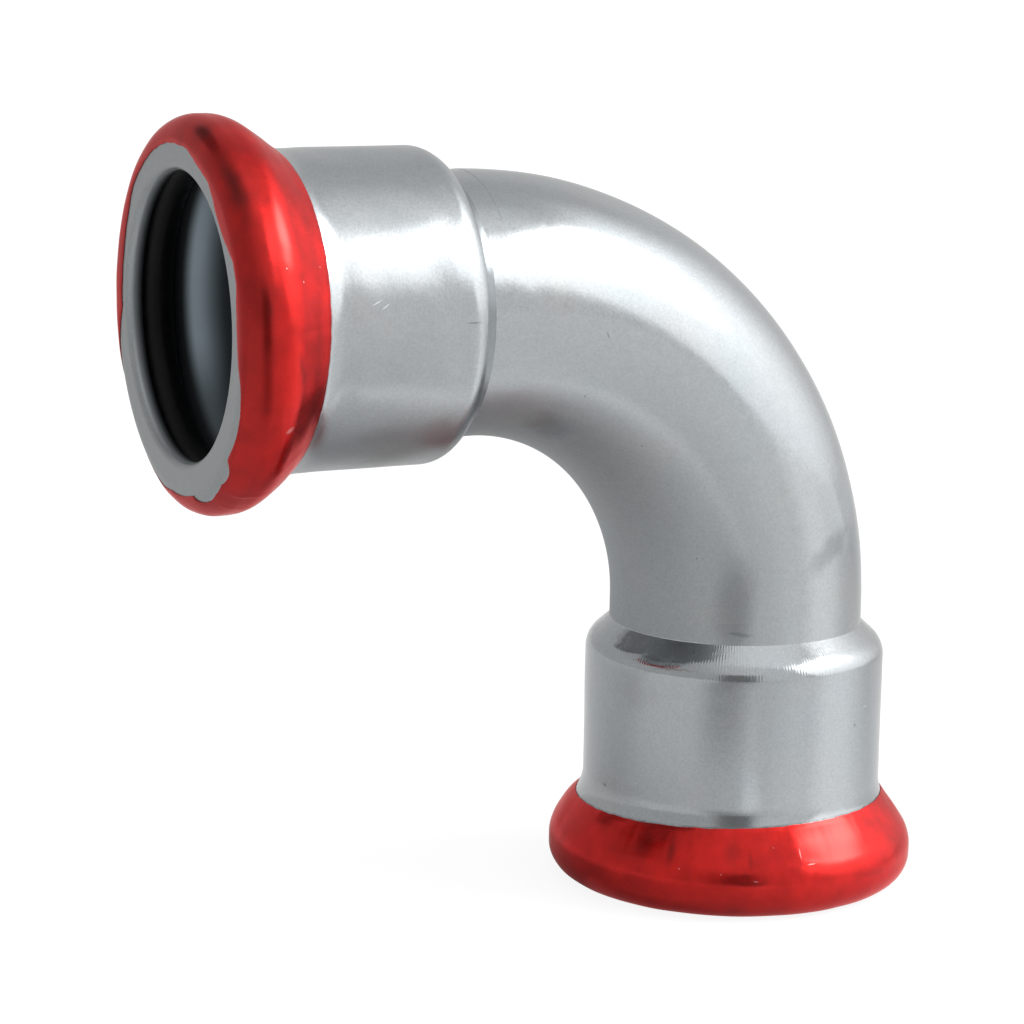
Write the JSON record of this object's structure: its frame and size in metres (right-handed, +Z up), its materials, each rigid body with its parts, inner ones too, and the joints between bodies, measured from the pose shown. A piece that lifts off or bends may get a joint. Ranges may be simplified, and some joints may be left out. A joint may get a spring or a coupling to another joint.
{
  "type": "press elbow pipe fitting",
  "caption": "Quarter-bend press fitting in zinc-plated steel, with a rolled socket at each end, a round rubber seal in each bead and a red indicator film over it.",
  "frame": {"origin": "on the lower socket's axis, at the inner end of its bore, where the pipe stops", "axes": "+Z up along the lower socket's axis, away from its mouth; -X out of the side socket's mouth; the elbow lies in the XZ plane"},
  "size_m": [0.0663, 0.0312, 0.0663],
  "materials": {
    "zinc_steel": "satin zinc plating, with fine scratches",
    "black_rubber": "smooth, lightly greased",
    "red_film": "thin glossy metallic red film, softly wrinkled"
  },
  "bodies": {
    "root": {"elbow_body": "zinc_steel", "lower_seal": "black_rubber", "side_seal": "black_rubber", "lower_indicator_film": "red_film", "side_indicator_film": "red_film"}
  },
  "joints": []
}
